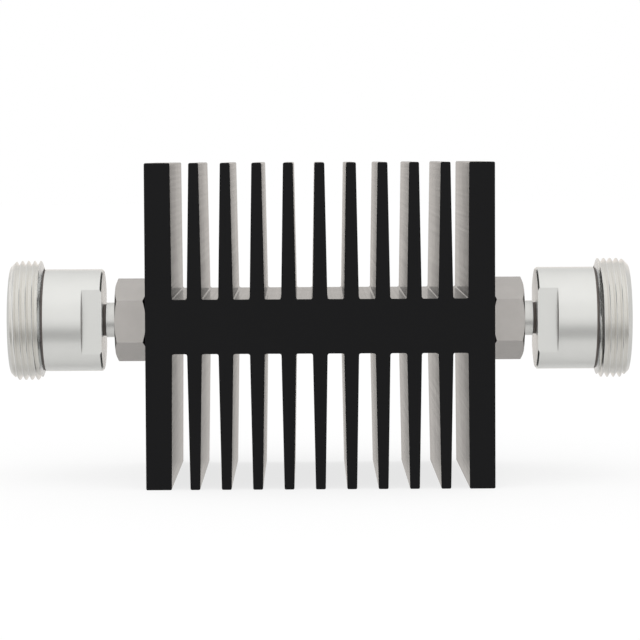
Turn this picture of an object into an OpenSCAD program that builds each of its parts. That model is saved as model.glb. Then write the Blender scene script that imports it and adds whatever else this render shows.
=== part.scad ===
// Finned coaxial power attenuator with a threaded female connector at each end.
// The coaxial line runs along X through the middle of the heat sink. Y is the depth of the
// extrusion, Z is up, and the origin is on the line's axis at the middle of the heat sink.

/* [Heat sink] */
// Width along the coaxial line, over the two end plates
sink_w = 81.5; // [66:0.1:110]
// Length of the cut extrusion, front to back
sink_d = 63.5; // [40:0.5:120]
// Height over the fin tips
sink_h = 76.2; // [50:0.1:120]
// Thickness of the central web that carries the line
web_t = 12.7; // [11.5:0.1:18]
// Number of thin fins on each face of the web
fin_count = 9; // [3:2:11]
// Thickness of a thin fin at its tip
fin_tip_t = 2.3; // [1.5:0.05:3]
// Thickness of a thin fin at the web
fin_root_t = 3.45; // [2.5:0.05:4]
// Thickness of an end plate at its tip
end_tip_t = 6.0; // [4.5:0.1:8]
// Thickness of an end plate at the web
end_root_t = 6.25; // [5:0.05:8.5]
// Width at the web of the slot beside each end plate
end_slot = 3.5; // [2.5:0.05:5]
// Radius along the tips of fins and end plates
tip_r = 0.35; // [0.1:0.05:0.6]
// Radius where a fin meets the web
root_r = 0.45; // [0.1:0.05:0.8]
// Wall left above and below the bore through the web
bore_wall = 1.6; // [1:0.1:2.2]

/* [Hexagon bushing] */
// Width across the flats of the hexagon
hex_af = 17.46; // [15:0.01:22]
// Length of the hexagon
hex_len = 7.6; // [5.5:0.05:13]
// Length of the round washer face that seats on the heat sink
washer_len = 1.05; // [0.5:0.05:2.5]
// Step from the hexagon's chamfered end face down to the washer face
washer_step = 0.35; // [0.1:0.05:0.6]
// Diameter of the threaded shank in the end plate
shank_d = 14; // [12:0.1:15]
// Material left between the shank and the web side of the end plate
shank_backing = 0.6; // [0.4:0.1:1]
// Share of the flat width that the chamfered end face keeps
hex_face_share = 0.98; // [0.85:0.01:0.99]
// Angle of the chamfer on the hexagon's corners
hex_chamfer_angle = 30; // [15:1:40]

/* [Connector shell] */
// Length of the shell from its rear face to its rim
shell_len = 22.4; // [20:0.05:28]
// Diameter of the plain barrel
barrel_d = 24.75; // [23.6:0.05:26]
// Length of the plain barrel, up to the foot of the thread
barrel_len = 14.2; // [12:0.05:16]
// Distance across the two wrench flats
flat_af = 19.3; // [18:0.05:22]
// Length of the wrench flats
flat_len = 4.8; // [3:0.1:8]
// Chamfer on the rear edge of the barrel
rear_chamfer = 0.4; // [0.1:0.1:1]
// Outside diameter of the coupling thread, modelled plain over its crests
thread_d = 29; // [27.5:0.05:31]
// Length of the cone from the barrel up to the thread
thread_cone = 1.0; // [0.6:0.1:1.4]
// Diameter of the flat rim in front of the thread
rim_d = 26; // [24:0.1:26.8]
// Length of the lead-in chamfer behind the rim
rim_chamfer = 1.5; // [0.5:0.05:2]
// Length of the neck that shows between shell and hexagon
neck_gap = 3.0; // [1.5:0.05:5]
// Outside diameter of the neck
neck_d = 8.45; // [7.6:0.05:9.5]
// Width of the undercut where the neck leaves the barrel
undercut_w = 0.65; // [0.3:0.05:1]
// Depth of that undercut
undercut_depth = 0.4; // [0.1:0.05:0.6]
// Length of neck that sits inside the hexagon bushing
neck_seat = 4.75; // [3:0.05:6]

/* [Coaxial interface] */
// Bore that takes the outer contact of the mating plug
mating_bore_d = 18.5; // [17.5:0.1:20]
// Chamfer at the mouth of that bore
mouth_chamfer = 0.4; // [0.1:0.1:1]
// Depth from the rim to the contact plane
mating_depth = 9.25; // [8:0.05:10.5]
// Inside diameter of the outer contact ring
outer_contact_d = 16; // [14.5:0.1:16.5]
// Length of the outer contact ring
contact_ring_len = 4.4; // [3:0.1:5]
// Thickness of the white support bead behind the ring
bead_t = 3.0; // [2:0.1:4]
// Bore of the slotted centre socket
socket_bore_d = 7; // [6:0.05:7.6]
// Outside diameter of the slotted centre socket
socket_od = 8.8; // [8.4:0.05:10.5]
// Depth of the socket's bore
socket_depth = 9.0; // [6:0.1:9.6]
// Distance from the rim back to the socket's mouth
socket_recess = 2.4; // [1:0.1:4]
// Number of slots that cross the socket
socket_slots = 2; // [1:1:3]
// Width of each slot
slot_w = 0.7; // [0.3:0.05:1]
// Diameter of the contact where it passes the bead
centre_d = 7; // [5.5:0.05:8]

/* [Coaxial line] */
// Bore of the outer conductor in the neck, bushing and ground sleeve
line_bore_d = 6.0; // [5.2:0.05:6.8]
// Diameter of the inner conductor there
line_rod_d = 2.6; // [2:0.05:3.2]
// Length of each small support bead on the inner conductor
line_bead_t = 2.5; // [1.5:0.1:3.5]
// Diameter of the pin that joins the contact to the inner conductor
joint_pin_d = 1.2; // [0.8:0.05:1.5]
// Length of that pin
joint_pin_len = 2.5; // [1.5:0.1:3]

/* [Attenuator element] */
// Length of the ceramic card
card_len = 50; // [30:0.5:52]
// Width of the ceramic card
card_w = 8.4; // [6.5:0.1:8.6]
// Thickness of the ceramic card
card_t = 1.0; // [0.5:0.05:1.4]
// Width of the channel that each clamp bar leaves over the card
channel_w = 5.2; // [4:0.1:5.8]
// Depth of that channel
channel_h = 2.2; // [1.5:0.1:2.6]
// Length of each copper lead tab
tab_len = 5.0; // [3:0.1:7]
// Width of each copper lead tab
tab_w = 2.0; // [1:0.1:2.3]
// Thickness of each copper lead tab
tab_t = 0.2; // [0.1:0.05:0.4]

/* [Fits] */
// Radial gap between two round pieces that seat in each other
fit_gap = 0.02; // [0.01:0.01:0.05]
// End gap between the card and the inner conductor
end_gap = 0.1; // [0.05:0.05:0.3]

/* [Hidden] */
$fn = 64;

// one overrun serves every cut
overrun = 1;
// straight steps in each rounded corner of the extrusion
corner_steps = 3;

// heat sink
fin_pitch = (sink_w / 2 - end_root_t - end_slot - fin_root_t / 2) / ((fin_count - 1) / 2);
bore_d = web_t - 2 * bore_wall;
shank_len = end_tip_t - shank_backing;

// places along the line, from the middle of the heat sink
bushing_end_x = sink_w / 2 - shank_len;
hex_back_x = sink_w / 2 + washer_len;
hex_front_x = hex_back_x + hex_len;
shell_x = hex_front_x + neck_gap;

// hexagon
hex_corner_d = hex_af / cos(30);
hex_face_d = hex_af * hex_face_share;
washer_d = hex_face_d - 2 * washer_step;
hex_chamfer_len = (hex_corner_d - hex_face_d) / 2 * tan(hex_chamfer_angle);

// inside of the shell, measured from its rear face
ring_front_x = shell_len - mating_depth;
bead_front_x = ring_front_x - contact_ring_len;
bead_seat_x = bead_front_x - bead_t;
cone_small_x = bead_seat_x / 4;
socket_front_x = shell_len - socket_recess;
neck_len = neck_gap + neck_seat;
rod_end_x = -neck_gap / 3;

// clamp bars and card
bar_r = bore_d / 2 - fit_gap;
rod_flat_len = tab_len / 2 + end_gap;

// unit vector from a to b
function toward(a, b) = (b - a) / norm(b - a);

// points of an arc of radius r that rounds the corner b of the path a, b, c
function corner_arc(a, b, c, r) =
    let (u = toward(b, a), v = toward(b, c),
         half = acos(u * v) / 2,
         cut = r / tan(half),
         centre = b + toward([0, 0], u + v) * r / sin(half),
         from = b + u * cut - centre,
         to = b + v * cut - centre,
         start = atan2(from[1], from[0]),
         turn = atan2(from[0] * to[1] - from[1] * to[0], from * to))
    [for (i = [0 : corner_steps])
        centre + r * [cos(start + turn * i / corner_steps), sin(start + turn * i / corner_steps)]];

// closed outline with each corner rounded; a corner is [x, y, radius]
function rounded(corners) =
    let (n = len(corners), at = [for (c = corners) [c[0], c[1]]])
    [for (i = [0 : n - 1])
        each corner_arc(at[(i + n - 1) % n], at[i], at[(i + 1) % n], corners[i][2])];

// x of the right side of land k, where land 0 is the left end plate, at the tip or at the web
function land_right(k, at_tip) =
    k == 0 ? -sink_w / 2 + (at_tip ? end_tip_t : end_root_t)
    : (k - (fin_count + 1) / 2) * fin_pitch + (at_tip ? fin_tip_t : fin_root_t) / 2;

// the four corners of slot k between two lands, from left to right, on the upper face
function slot_corners(k) = [
    [land_right(k, true), sink_h / 2, tip_r],
    [land_right(k, false), web_t / 2, root_r],
    [-land_right(fin_count - k, false), web_t / 2, root_r],
    [-land_right(fin_count - k, true), sink_h / 2, tip_r]];

// upper edge of the section from left to right
upper_edge = concat(
    [[-sink_w / 2, sink_h / 2, tip_r]],
    [for (k = [0 : fin_count]) each slot_corners(k)],
    [[sink_w / 2, sink_h / 2, tip_r]]);

// the lower edge is the upper one turned half round
section = concat(upper_edge, [for (c = upper_edge) [-c[0], -c[1], c[2]]]);

// lays a shape that was drawn along Z along the coaxial line, starting at x
module along_line(x) {
    translate([x, 0, 0]) rotate([0, 90, 0]) children();
}

// the right-hand pieces, or their mirror image on the left
module side(left) {
    if (left) mirror([1, 0, 0]) children();
    else children();
}

// ring with a round hole
module tube(outer_d, inner_d, length) {
    difference() {
        cylinder(d = outer_d, h = length);
        translate([0, 0, -overrun]) cylinder(d = inner_d, h = length + 2 * overrun);
    }
}

// extruded block: web, thin tapered fins on both faces and a thick plate at each end
module heat_sink() {
    color([0.03, 0.03, 0.035]) difference() {
        translate([0, sink_d / 2, 0]) rotate([90, 0, 0])
            linear_extrude(height = sink_d) polygon(rounded(section));
        along_line(-sink_w / 2 - overrun) cylinder(d = bore_d, h = sink_w + 2 * overrun);
        for (left = [false, true]) side(left)
            along_line(bushing_end_x) cylinder(d = shank_d, h = shank_len + overrun);
    }
}

// stainless hexagon, chamfered at both ends, with a washer face and a shank that screws into
// the end plate
module hex_bushing() {
    color([0.62, 0.60, 0.58]) difference() {
        union() {
            along_line(hex_back_x) intersection() {
                cylinder(d = hex_corner_d, h = hex_len, $fn = 6);
                rotate_extrude() polygon([
                    [0, 0],
                    [hex_face_d / 2, 0],
                    [hex_corner_d / 2, hex_chamfer_len],
                    [hex_corner_d / 2, hex_len - hex_chamfer_len],
                    [hex_face_d / 2, hex_len],
                    [0, hex_len]]);
            }
            along_line(sink_w / 2) cylinder(d = washer_d, h = washer_len + overrun);
            along_line(bushing_end_x) cylinder(d = shank_d - 2 * fit_gap, h = shank_len + overrun);
        }
        along_line(bushing_end_x - overrun)
            cylinder(d = line_bore_d, h = hex_front_x - bushing_end_x + 2 * overrun);
        along_line(hex_front_x - neck_seat) cylinder(d = neck_d + 2 * fit_gap, h = neck_seat + overrun);
    }
}

// section of the shell, as radius and distance from its rear face
shell_section = [
    [line_bore_d / 2, -neck_len],
    [neck_d / 2, -neck_len],
    [neck_d / 2, -undercut_w],
    [neck_d / 2 - undercut_depth, -undercut_w],
    [neck_d / 2 - undercut_depth, 0],
    [barrel_d / 2 - rear_chamfer, 0],
    [barrel_d / 2, rear_chamfer],
    [barrel_d / 2, barrel_len],
    [thread_d / 2, barrel_len + thread_cone],
    [thread_d / 2, shell_len - rim_chamfer],
    [rim_d / 2, shell_len],
    [mating_bore_d / 2 + mouth_chamfer, shell_len],
    [mating_bore_d / 2, shell_len - mouth_chamfer],
    [mating_bore_d / 2, bead_seat_x],
    [outer_contact_d / 2, bead_seat_x],
    [line_bore_d / 2, cone_small_x]];

// plated shell: coupling thread, barrel with two wrench flats, and the neck
module connector_shell() {
    color([0.86, 0.86, 0.84]) along_line(shell_x) difference() {
        rotate_extrude() polygon(shell_section);
        for (s = [-1, 1])
            translate([-barrel_d / 2, s * (flat_af + barrel_d) / 2 - barrel_d / 2, -overrun])
                cube([barrel_d, barrel_d, flat_len + overrun]);
    }
}

// plated ring that the plug's outer contact butts against
module contact_ring() {
    color([0.84, 0.84, 0.82]) along_line(shell_x + bead_front_x)
        tube(mating_bore_d - 2 * fit_gap, outer_contact_d, contact_ring_len);
}

// white bead that holds the centre contact in the shell
module support_bead() {
    color([0.95, 0.95, 0.93]) along_line(shell_x + bead_seat_x)
        tube(mating_bore_d - 2 * fit_gap, centre_d + 2 * fit_gap, bead_t);
}

// slotted socket at the front, tapering down to the pin that joins the inner conductor
module centre_contact() {
    color([0.88, 0.86, 0.80]) along_line(shell_x) difference() {
        rotate_extrude() polygon([
            [0, rod_end_x - joint_pin_len],
            [joint_pin_d / 2, rod_end_x - joint_pin_len],
            [joint_pin_d / 2, rod_end_x],
            [line_rod_d / 2, rod_end_x],
            [line_rod_d / 2, cone_small_x],
            [centre_d / 2, bead_seat_x],
            [centre_d / 2, bead_front_x],
            [socket_od / 2, bead_front_x],
            [socket_od / 2, socket_front_x],
            [socket_bore_d / 2, socket_front_x],
            [socket_bore_d / 2, socket_front_x - socket_depth],
            [0, socket_front_x - socket_depth]]);
        for (i = [0 : socket_slots - 1])
            rotate([0, 0, 180 * i / socket_slots + 90 / socket_slots])
                translate([-socket_od, -slot_w / 2, socket_front_x - socket_depth])
                    cube([2 * socket_od, slot_w, socket_depth + overrun]);
    }
}

// small bead that centres the inner conductor, from x outward
module line_bead(x) {
    color([0.95, 0.95, 0.93]) along_line(x)
        tube(line_bore_d - 2 * fit_gap, line_rod_d + 2 * fit_gap, line_bead_t);
}

module neck_bead() {
    line_bead(hex_front_x - neck_seat + fit_gap);
}

module rod_bead() {
    line_bead(bushing_end_x - line_bead_t);
}

// tube that carries the outer conductor from the bushing to the card
module ground_sleeve() {
    color([0.75, 0.76, 0.78]) along_line(card_len / 2)
        tube(bore_d - 2 * fit_gap, line_bore_d, bushing_end_x - card_len / 2);
}

// inner conductor, drilled for the contact's pin and milled flat under the lead tab
module inner_rod() {
    rod_x = card_len / 2 + end_gap;
    rod_len = shell_x + rod_end_x - rod_x;
    color([0.85, 0.68, 0.35]) difference() {
        along_line(rod_x) cylinder(d = line_rod_d, h = rod_len);
        along_line(rod_x + rod_len - joint_pin_len - end_gap)
            cylinder(d = joint_pin_d + 2 * fit_gap, h = joint_pin_len + end_gap + overrun);
        translate([rod_x - overrun, -line_rod_d, card_t / 2])
            cube([rod_flat_len + overrun, 2 * line_rod_d, line_rod_d]);
    }
}

// copper strip from the card's pad to the flat on the inner conductor
module lead_tab() {
    color([0.80, 0.48, 0.30])
        translate([card_len / 2 - tab_len / 2, -tab_w / 2, card_t / 2])
            cube([tab_len, tab_w, tab_t]);
}

// ceramic card that carries the resistor film
module attenuator_card() {
    color([0.93, 0.93, 0.90])
        translate([-card_len / 2, -card_w / 2, -card_t / 2]) cube([card_len, card_w, card_t]);
}

// half-round bar that presses the card's edge against the bore, with a channel over the film
module clamp_bar() {
    color([0.75, 0.76, 0.78]) difference() {
        along_line(-card_len / 2) cylinder(r = bar_r, h = card_len);
        translate([-card_len / 2 - overrun, -bore_d, card_t / 2 - 2 * bore_d])
            cube([card_len + 2 * overrun, 2 * bore_d, 2 * bore_d]);
        translate([-card_len / 2 - overrun, -channel_w / 2, 0])
            cube([card_len + 2 * overrun, channel_w, card_t / 2 + channel_h]);
    }
}

heat_sink();
attenuator_card();
clamp_bar();  // upper_clamp_bar
mirror([0, 0, 1]) clamp_bar();  // lower_clamp_bar
side(true) connector_shell();  // left_connector_shell
side(false) connector_shell();  // right_connector_shell
side(true) contact_ring();  // left_contact_ring
side(false) contact_ring();  // right_contact_ring
side(true) support_bead();  // left_support_bead
side(false) support_bead();  // right_support_bead
side(true) centre_contact();  // left_centre_contact
side(false) centre_contact();  // right_centre_contact
side(true) neck_bead();  // left_neck_bead
side(false) neck_bead();  // right_neck_bead
side(true) hex_bushing();  // left_hex_bushing
side(false) hex_bushing();  // right_hex_bushing
side(true) ground_sleeve();  // left_ground_sleeve
side(false) ground_sleeve();  // right_ground_sleeve
side(true) inner_rod();  // left_inner_rod
side(false) inner_rod();  // right_inner_rod
side(true) rod_bead();  // left_rod_bead
side(false) rod_bead();  // right_rod_bead
side(true) lead_tab();  // left_lead_tab
side(false) lead_tab();  // right_lead_tab
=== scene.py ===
"""Looks of a finned coaxial power attenuator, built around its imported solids.

The coaxial line runs along X through the middle of the heat sink, Y is the depth of the
extrusion and Z is up. Sizes are in metres.
"""
import math

import bmesh
import bpy
from bpy.props import FloatProperty, FloatVectorProperty, IntProperty, PointerProperty
from mathutils import Matrix, Vector


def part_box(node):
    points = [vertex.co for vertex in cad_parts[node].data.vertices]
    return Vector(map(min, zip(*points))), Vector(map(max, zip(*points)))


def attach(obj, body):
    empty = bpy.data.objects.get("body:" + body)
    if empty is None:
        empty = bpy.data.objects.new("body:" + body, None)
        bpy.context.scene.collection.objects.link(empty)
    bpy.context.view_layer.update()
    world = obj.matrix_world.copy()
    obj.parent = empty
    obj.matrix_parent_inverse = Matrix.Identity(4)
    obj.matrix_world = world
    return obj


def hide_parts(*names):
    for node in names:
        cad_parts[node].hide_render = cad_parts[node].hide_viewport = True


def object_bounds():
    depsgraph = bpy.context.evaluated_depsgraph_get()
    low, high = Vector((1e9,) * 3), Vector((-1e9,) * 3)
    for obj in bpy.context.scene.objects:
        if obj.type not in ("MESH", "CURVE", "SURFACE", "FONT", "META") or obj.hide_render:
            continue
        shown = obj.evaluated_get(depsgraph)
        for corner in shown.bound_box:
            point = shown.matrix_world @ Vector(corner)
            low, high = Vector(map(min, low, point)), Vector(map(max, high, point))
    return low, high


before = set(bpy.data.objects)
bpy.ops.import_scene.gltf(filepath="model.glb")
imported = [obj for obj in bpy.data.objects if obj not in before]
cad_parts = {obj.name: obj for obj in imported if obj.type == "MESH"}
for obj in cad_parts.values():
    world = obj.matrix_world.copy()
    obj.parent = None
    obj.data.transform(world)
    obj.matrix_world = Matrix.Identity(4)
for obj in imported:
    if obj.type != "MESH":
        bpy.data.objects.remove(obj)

bl_info = {
    "name": "Coaxial attenuator looks",
    "version": (1, 0, 0),
    "blender": (4, 5, 0),
    "location": "View3D > Sidebar > Attenuator",
    "description": "Builds the visible pieces of a finned coaxial attenuator and a plain studio",
    "category": "Object",
}

# Units and places that the frame gives
MM = 0.001
BODY = "root"
SIDES = ("left", "right")
SINK_LOW, SINK_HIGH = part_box("heat_sink")
BUSHING_LOW, BUSHING_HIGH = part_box("right_hex_bushing")
SHELL_LOW, SHELL_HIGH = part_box("right_connector_shell")
CAD_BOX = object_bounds()


def length(name, description, default_mm):
    """A size property, given in millimetres and kept in metres."""
    return FloatProperty(name=name, description=description, default=default_mm * MM,
                         min=0.0, unit="LENGTH", precision=5)


def share(name, description, default):
    """A plain number property, such as a roughness."""
    return FloatProperty(name=name, description=description, default=default, min=0.0)


def colour(name, description, default):
    """A colour property in linear RGB."""
    return FloatVectorProperty(name=name, description=description, default=default,
                               subtype="COLOR", size=3, min=0.0, max=1.0)


# Settings
class HeatSinkSettings(bpy.types.PropertyGroup):
    """Sizes of the extruded heat sink that its box doesn't give."""

    web_t: length("Web", "Thickness of the central web", 12.7)
    fin_count: IntProperty(name="Fins", description="Thin fins on each face of the web", default=9, min=3)
    fin_tip_t: length("Fin tip", "Thickness of a thin fin at its tip", 2.3)
    fin_root_t: length("Fin root", "Thickness of a thin fin at the web", 3.45)
    end_tip_t: length("End plate tip", "Thickness of an end plate at its tip", 6.0)
    end_root_t: length("End plate root", "Thickness of an end plate at the web", 6.25)
    end_slot: length("End slot", "Width at the web of the slot beside an end plate", 3.5)
    tip_r: length("Tip radius", "Radius along the tips of fins and end plates", 0.35)
    root_r: length("Root radius", "Radius where a fin meets the web", 0.45)
    cut_edge: length("Cut edge", "Chamfer round the sawn front and back faces", 0.12)
    bore_d: length("Bore", "Diameter of the bore through the web", 9.5)
    shank_d: length("Shank bore", "Diameter of the bore for the bushing's shank", 14.0)
    shank_len: length("Shank depth", "Depth of the bore for the bushing's shank", 5.4)


class ConnectorSettings(bpy.types.PropertyGroup):
    """Sizes of the threaded connector shell and of what sits in it."""

    shell_len: length("Shell length", "From the rear face to the rim", 22.4)
    barrel_d: length("Barrel", "Diameter of the plain barrel", 24.75)
    barrel_len: length("Barrel length", "Up to the foot of the thread", 14.0)
    flat_af: length("Across flats", "Distance across the wrench flats", 19.3)
    flat_len: length("Flat length", "Length of the wrench flats", 4.8)
    rear_chamfer: length("Rear chamfer", "Chamfer on the barrel's rear edge", 0.4)
    mouth_chamfer: length("Mouth chamfer", "Chamfer at the mouth of the mating bore", 0.4)
    thread_d: length("Thread", "Outside diameter of the coupling thread", 29.0)
    thread_pitch: length("Pitch", "Pitch of the coupling thread", 1.5)
    thread_land_share: share("Thread lands", "Share of the pitch that is flat, at crest and root alike", 0.08)
    thread_start_share: share("Thread start", "Share of a turn from the top to where the thread starts", 0.087)
    relief_w: length("Relief width", "Width of the groove between barrel and thread", 0.35)
    relief_depth: length("Relief depth", "Depth of that groove", 0.12)
    thread_cone: length("Thread cone", "Length of the cone behind the first crest", 0.8)
    rim_d: length("Rim", "Diameter of the flat rim", 26.0)
    neck_d: length("Neck", "Outside diameter of the neck", 8.45)
    neck_len: length("Neck length", "From the rear face to the neck's end", 7.75)
    undercut_w: length("Undercut width", "Width of the undercut beside the barrel", 0.65)
    undercut_depth: length("Undercut depth", "Depth of that undercut", 0.4)
    line_bore_d: length("Line bore", "Bore of the outer conductor in the neck", 6.0)
    mating_bore_d: length("Mating bore", "Bore that takes the plug's outer contact", 18.5)
    mating_depth: length("Mating depth", "From the rim to the contact plane", 9.25)
    outer_contact_d: length("Outer contact", "Inside diameter of the contact ring", 16.0)
    ring_len: length("Ring length", "Length of the contact ring", 4.4)
    bead_t: length("Bead", "Thickness of the support bead", 3.0)
    socket_bore_d: length("Socket bore", "Bore of the slotted socket", 7.0)
    socket_od: length("Socket", "Outside diameter of the slotted socket", 8.8)
    socket_depth: length("Socket depth", "Depth of the socket's bore", 9.0)
    socket_recess: length("Socket recess", "From the rim back to the socket's mouth", 2.4)
    socket_slots: IntProperty(name="Socket slots", description="Slots that cross the socket", default=2, min=1)
    slot_w: length("Slot width", "Width of each slot", 0.7)
    centre_d: length("Centre", "Diameter of the contact in the bead", 7.0)
    rod_d: length("Rod", "Diameter of the inner conductor", 2.6)
    pin_d: length("Joint pin", "Diameter of the pin into the inner conductor", 1.2)
    pin_len: length("Pin length", "Length of that pin", 2.5)
    fit_gap: length("Fit gap", "Radial gap between pieces that seat in each other", 0.02)

    FLANK_ANGLE = math.radians(30)

    def flank_share(self):
        """Share of the pitch that one flank takes."""
        return 0.5 - self.thread_land_share

    def thread_depth(self):
        """Height from the thread's root to its crest."""
        return self.flank_share() * self.thread_pitch / math.tan(self.FLANK_ANGLE)


class BushingSettings(bpy.types.PropertyGroup):
    """Sizes of the hexagon bushings."""

    across_flats: length("Across flats", "Width across the flats of the hexagon", 17.46)
    shank_d: length("Shank", "Diameter of the shank in the end plate", 13.96)
    washer_len: length("Washer face", "Length of the round washer face on the heat sink", 1.05)
    washer_step: length("Washer step", "Step from the chamfered end face to the washer face", 0.48)
    face_share: share("Face share", "Share of the flat width that the end face keeps", 0.995)
    chamfer_angle: FloatProperty(name="Chamfer angle", description="Angle of the corner chamfer",
                                 default=math.radians(22), subtype="ANGLE")
    rear_angle: FloatProperty(name="Rear chamfer angle", description="Angle of the chamfer beside the washer face",
                              default=math.radians(30), subtype="ANGLE")
    corner_softness: length("Corner softness", "Width of the broken edges", 0.09)


class FinishSettings(bpy.types.PropertyGroup):
    """Colours and roughnesses of the finishes."""

    anodise: colour("Anodise", "Dye colour of the black anodise", (0.0032, 0.0032, 0.0038))
    anodise_roughness: share("Anodise roughness", "Roughness of the drawn faces", 0.19)
    sawn_roughness: share("Sawn roughness", "Roughness of the anodised front and back faces", 0.42)
    anodise_sheen: share("Anodise sheen", "Strength of the mirror reflection on the anodise", 0.19)
    plate: colour("Plate", "Colour of the satin plate", (0.905, 0.905, 0.875))
    plate_roughness: share("Plate roughness", "Roughness of the satin plate", 0.21)
    # Painted light: the outer flanks are painted brighter as a highlight, the inner flanks darker as shade.
    outer_flank_highlight: colour("Outer flanks", "Colour of the thread's flanks that face the rim", (1.0, 1.0, 0.98))
    inner_flank_shade: colour("Inner flanks", "Colour of the thread's flanks that face the barrel", (0.84, 0.82, 0.785))
    # Painted shade: the rear face and thread cone are painted darker than the plate, for the heat sink's dark
    # reflection.
    rear_face_shade: colour("Faced plate", "Colour of the shells' rear face", (0.77, 0.785, 0.79))
    faced_roughness: share("Faced roughness", "Roughness of the shells' rear face", 0.27)
    neck: colour("Neck", "Colour of the shells' neck", (0.84, 0.835, 0.805))
    # Painted shade: this dark colour darkens the grooves and the flats' end walls where shade falls.
    recess_shade: colour("Recess", "Colour of the dull plate in corners and grooves", (0.21, 0.185, 0.17))
    stainless: colour("Stainless", "Colour of the bushings", (0.605, 0.577, 0.548))
    stainless_roughness: share("Stainless roughness", "Roughness of the bushings", 0.09)
    contact: colour("Contact", "Colour of the centre contacts", (0.93, 0.89, 0.80))
    bead: colour("Bead", "Colour of the white beads", (0.86, 0.86, 0.84))
    aluminium: colour("Aluminium", "Colour of the bare inner metal", (0.76, 0.77, 0.79))
    ceramic: colour("Ceramic", "Colour of the card", (0.84, 0.84, 0.80))
    gold: colour("Gold", "Colour of the inner rods", (0.88, 0.66, 0.30))
    copper: colour("Copper", "Colour of the lead tabs", (0.83, 0.45, 0.28))


class StudioSettings(bpy.types.PropertyGroup):
    """Camera, lamps and floor."""

    focal_mm: share("Lens", "Focal length in millimetres", 165.2)
    camera_x: FloatProperty(name="Camera X", description="Camera place", default=-0.00261, unit="LENGTH")
    camera_y: FloatProperty(name="Camera Y", description="Camera place", default=-0.71357, unit="LENGTH")
    camera_z: FloatProperty(name="Camera Z", description="Camera place", default=0.03960, unit="LENGTH")
    pitch: FloatProperty(name="Pitch", description="Angle that the camera looks down",
                         default=math.radians(3.199), subtype="ANGLE")
    yaw: FloatProperty(name="Yaw", description="Angle that the camera looks to the right",
                       default=math.radians(0.217), subtype="ANGLE")
    roll: FloatProperty(name="Roll", description="Angle that the camera leans",
                        default=math.radians(-0.28), subtype="ANGLE")
    ambient: share("Ambient", "Level of the soft light from all round", 0.8)
    key: share("Key", "Strength of the overhead light in watts per square metre", 0.9)
    key_spread: FloatProperty(name="Key spread", description="Angle over which the overhead light spreads",
                              default=math.radians(80), subtype="ANGLE")
    floor_size: FloatProperty(name="Floor", description="Side of the floor", default=8.0, unit="LENGTH")
    shadow: share("Shadow", "Share of the floor's own shading that the camera sees", 0.22)


# Node trees
class Wire:
    """An output socket whose operators add Math nodes to its tree."""

    def __init__(self, tree, socket):
        self.tree = tree
        self.socket = socket

    def math(self, operation, *values):
        return add_node(self.tree, "ShaderNodeMath", {"operation": operation},
                        dict(enumerate((self, *values))))

    def reflected(self, operation, value):
        return add_node(self.tree, "ShaderNodeMath", {"operation": operation}, {0: value, 1: self})

    def __add__(self, other):
        return self.math("ADD", other)

    def __radd__(self, other):
        return self.reflected("ADD", other)

    def __sub__(self, other):
        return self.math("SUBTRACT", other)

    def __rsub__(self, other):
        return self.reflected("SUBTRACT", other)

    def __mul__(self, other):
        return self.math("MULTIPLY", other)

    def __rmul__(self, other):
        return self.reflected("MULTIPLY", other)

    def __truediv__(self, other):
        return self.math("DIVIDE", other)

    def clamped(self, low=0.0, high=1.0):
        return self.math("MAXIMUM", low).math("MINIMUM", high)

    def part(self, axis):
        """One component, "X", "Y" or "Z", of a vector wire."""
        return add_node(self.tree, "ShaderNodeSeparateXYZ", {}, {0: self}, axis)


def add_node(tree, kind, settings, sockets, output=0):
    """Adds a node, sets it up, fills its sockets with values or wires and returns one output."""
    node = tree.nodes.new(kind)
    for name, value in settings.items():
        if name == "stops":
            set_stops(node.color_ramp, value)
        else:
            setattr(node, name, value)
    for key, value in sockets.items():
        socket = node.inputs[key]
        for one in value if isinstance(value, list) else [value]:
            if isinstance(one, Wire):
                tree.links.new(one.socket, socket)
            else:
                socket.default_value = one
    if not node.outputs:
        return None
    return Wire(tree, node.outputs[output])


def set_stops(ramp, stops):
    """Gives a colour ramp its stops, as pairs of a place and a grey level or a colour."""
    while len(ramp.elements) > 1:
        ramp.elements.remove(ramp.elements[-1])
    for number, (place, level) in enumerate(stops):
        element = ramp.elements[0] if number == 0 else ramp.elements.new(place)
        element.position = place
        rgb = level if isinstance(level, tuple) else (level, level, level)
        element.color = (*rgb, 1.0)


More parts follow.
